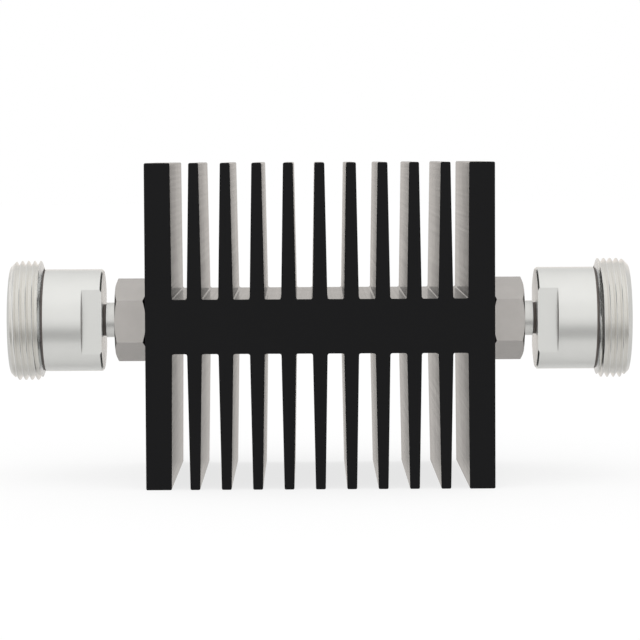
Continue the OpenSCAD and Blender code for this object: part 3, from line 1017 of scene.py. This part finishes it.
class FinishInnerLine(bpy.types.Operator):
    """Give the hidden pieces of the coaxial line their finishes."""

    bl_idname = "attenuator.inner_line"
    bl_label = "Inner line"

    def execute(self, context):
        look = context.scene.attenuator_finish
        white = soft_solid("line_bead", look.bead, 0.38, 900.0, 0.000006)
        metal = turned_metal("machined_aluminium", look.aluminium, 0.34, 1800.0, 0.000006)
        finishes = {
            "attenuator_card": soft_solid("fired_ceramic", look.ceramic, 0.5, 1500.0, 0.000004),
            "clamp_bar": metal,
            "ground_sleeve": metal,
            "neck_bead": white,
            "rod_bead": white,
            "inner_rod": turned_metal("gold_plate", look.gold, 0.2, 2600.0, 0.000003),
            "lead_tab": turned_metal("copper_strip", look.copper, 0.3, 1400.0, 0.000004),
        }
        for ending, material in finishes.items():
            found = [obj for name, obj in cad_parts.items() if name.endswith(ending)]
            if not found:
                raise RuntimeError(f"no packed node ends with {ending}")
            for obj in found:
                obj.data.materials.clear()
                obj.data.materials.append(material)
        return {"FINISHED"}


class BuildStudio(bpy.types.Operator):
    """Set the floor, the soft surround, the overhead lamp and the camera."""

    bl_idname = "attenuator.studio"
    bl_label = "Studio"

    # Brightness of the surround by its height angle: -1 and 1 are straight behind,
    # 0 is straight in front and 0.5 is overhead
    SURROUND = ((-1.0, (0.94, 0.89, 0.84)), (-0.84, 0.66), (-0.74, 0.62),
                (-0.69, 0.53), (-0.6, 0.6), (-0.5, 0.66), (-0.38, 0.69), (-0.29, 0.66), (-0.22, 0.46), (-0.16, 0.41),
                (-0.11, 0.5), (-0.05, 0.7), (0.04, 0.82), (0.12, 0.82), (0.3, 0.9), (0.5, 0.87),
                (0.65, 0.8), (0.82, 0.68), (1.0, (0.94, 0.89, 0.84)))
    # Brightness far out to either side, and where it starts to take over
    SIDE_LEVEL = 0.66
    SIDE_START = 0.55

    def execute(self, context):
        s = context.scene.attenuator_studio
        self.floor(s)
        self.surround(s)
        self.lamp(s)
        self.camera(s)
        context.scene.view_settings.view_transform = "Standard"
        return {"FINISHED"}

    def floor(self, s):
        bm = bmesh.new()
        bmesh.ops.create_grid(bm, x_segments=8, y_segments=8, size=s.floor_size / 2)
        bmesh.ops.translate(bm, verts=bm.verts, vec=(0.0, 0.0, CAD_BOX[0][2]))
        floor = make_object("studio_floor", bm)
        material = bpy.data.materials.new("pale_floor")
        material.use_nodes = True
        tree = material.node_tree
        tree.nodes.clear()
        own = add_node(tree, "ShaderNodeBsdfDiffuse", {}, {"Color": (0.97, 0.97, 0.97, 1.0)})
        white = add_node(tree, "ShaderNodeEmission", {}, {"Color": (1.0, 1.0, 1.0, 1.0), "Strength": 1.0})
        camera = add_node(tree, "ShaderNodeLightPath", {}, {}, "Is Camera Ray")
        mixed = add_node(tree, "ShaderNodeMixShader", {}, {0: camera * (1 - s.shadow), 1: own, 2: white})
        add_node(tree, "ShaderNodeOutputMaterial", {}, {"Surface": mixed})
        floor.data.materials.append(material)
        floor.visible_glossy = False

    def surround(self, s):
        world = bpy.data.worlds.new("soft_surround")
        bpy.context.scene.world = world
        world.use_nodes = True
        tree = world.node_tree
        tree.nodes.clear()
        way = add_node(tree, "ShaderNodeTexCoord", {}, {}, "Generated")
        height = way.part("Z").math("ARCTAN2", way.part("Y") * -1.0) / math.tau + 0.5
        stops = [((place + 1) / 2, level) for place, level in self.SURROUND]
        mirrored = add_node(tree, "ShaderNodeValToRGB", {"stops": stops}, {0: height})
        sideways = ((way.part("X").math("ABSOLUTE") - self.SIDE_START) / (1 - self.SIDE_START)).clamped()
        dim = (self.SIDE_LEVEL,) * 3 + (1.0,)
        mirrored = add_node(tree, "ShaderNodeMix", {"data_type": "RGBA"}, {0: sideways, 6: mirrored, 7: dim}, 2)
        glossy = add_node(tree, "ShaderNodeLightPath", {}, {}, "Is Glossy Ray")
        camera = add_node(tree, "ShaderNodeLightPath", {}, {}, "Is Camera Ray")
        clear = add_node(tree, "ShaderNodeLightPath", {}, {}, "Is Transmission Ray")
        ambient = add_node(tree, "ShaderNodeBackground", {}, {"Color": (1.0, 1.0, 1.0, 1.0), "Strength": s.ambient})
        seen = add_node(tree, "ShaderNodeBackground", {}, {"Color": mirrored, "Strength": 1.0})
        white = add_node(tree, "ShaderNodeBackground", {}, {"Color": (1.0, 1.0, 1.0, 1.0), "Strength": 1.0})
        mixed = add_node(tree, "ShaderNodeMixShader", {}, {0: glossy, 1: ambient, 2: seen})
        mixed = add_node(tree, "ShaderNodeMixShader", {}, {0: camera.math("MAXIMUM", clear), 1: mixed, 2: white})
        add_node(tree, "ShaderNodeOutputWorld", {}, {"Surface": mixed})

    def lamp(self, s):
        light = bpy.data.lights.new("overhead_light", "SUN")
        light.energy = s.key
        light.angle = s.key_spread
        lamp = bpy.data.objects.new("overhead_light", light)
        lamp.location = (-0.1, -0.15, 1.0)
        lamp.rotation_euler = lamp.location.to_track_quat("Z", "Y").to_euler()
        lamp.visible_glossy = False
        bpy.context.scene.collection.objects.link(lamp)

    def camera(self, s):
        data = bpy.data.cameras.new("photo_camera")
        data.lens = s.focal_mm
        camera = bpy.data.objects.new("photo_camera", data)
        ahead = Vector((math.sin(s.yaw) * math.cos(s.pitch), math.cos(s.yaw) * math.cos(s.pitch),
                        -math.sin(s.pitch)))
        across = Vector((math.cos(s.yaw), -math.sin(s.yaw), 0.0))
        up = across.cross(ahead)
        right = math.cos(s.roll) * across + math.sin(s.roll) * up
        top = math.cos(s.roll) * up - math.sin(s.roll) * across
        turn = Matrix((right, top, -ahead)).transposed().to_4x4()
        camera.matrix_world = Matrix.Translation((s.camera_x, s.camera_y, s.camera_z)) @ turn
        bpy.context.scene.collection.objects.link(camera)
        bpy.context.scene.camera = camera


class AttenuatorPanel(bpy.types.Panel):
    """Lists the settings and the steps that build the attenuator."""

    bl_idname = "VIEW3D_PT_attenuator"
    bl_label = "Coaxial attenuator"
    bl_space_type = "VIEW_3D"
    bl_region_type = "UI"
    bl_category = "Attenuator"

    def draw(self, context):
        for operator in OPERATORS:
            self.layout.operator(operator.bl_idname)
        for attribute in SETTINGS:
            group = getattr(context.scene, attribute)
            box = self.layout.box()
            for name in group.bl_rna.properties.keys():
                if name not in ("name", "rna_type"):
                    box.prop(group, name)


SETTINGS = {
    "attenuator_sink": HeatSinkSettings,
    "attenuator_connector": ConnectorSettings,
    "attenuator_bushing": BushingSettings,
    "attenuator_finish": FinishSettings,
    "attenuator_studio": StudioSettings,
}
OPERATORS = (BuildHeatSink, BuildShells, BuildInterfaces, BuildBushings, FinishInnerLine, BuildStudio)


def register():
    for group in SETTINGS.values():
        bpy.utils.register_class(group)
    for operator in OPERATORS:
        bpy.utils.register_class(operator)
    bpy.utils.register_class(AttenuatorPanel)
    for attribute, group in SETTINGS.items():
        setattr(bpy.types.Scene, attribute, PointerProperty(type=group))


def unregister():
    for attribute in SETTINGS:
        delattr(bpy.types.Scene, attribute)
    bpy.utils.unregister_class(AttenuatorPanel)
    for operator in reversed(OPERATORS):
        bpy.utils.unregister_class(operator)
    for group in reversed(list(SETTINGS.values())):
        bpy.utils.unregister_class(group)


def main():
    register()
    bpy.ops.attenuator.studio()
    bpy.ops.attenuator.heat_sink()
    bpy.ops.attenuator.connector_shells()
    bpy.ops.attenuator.interfaces()
    bpy.ops.attenuator.hex_bushings()
    bpy.ops.attenuator.inner_line()


if __name__ == "__main__":
    main()
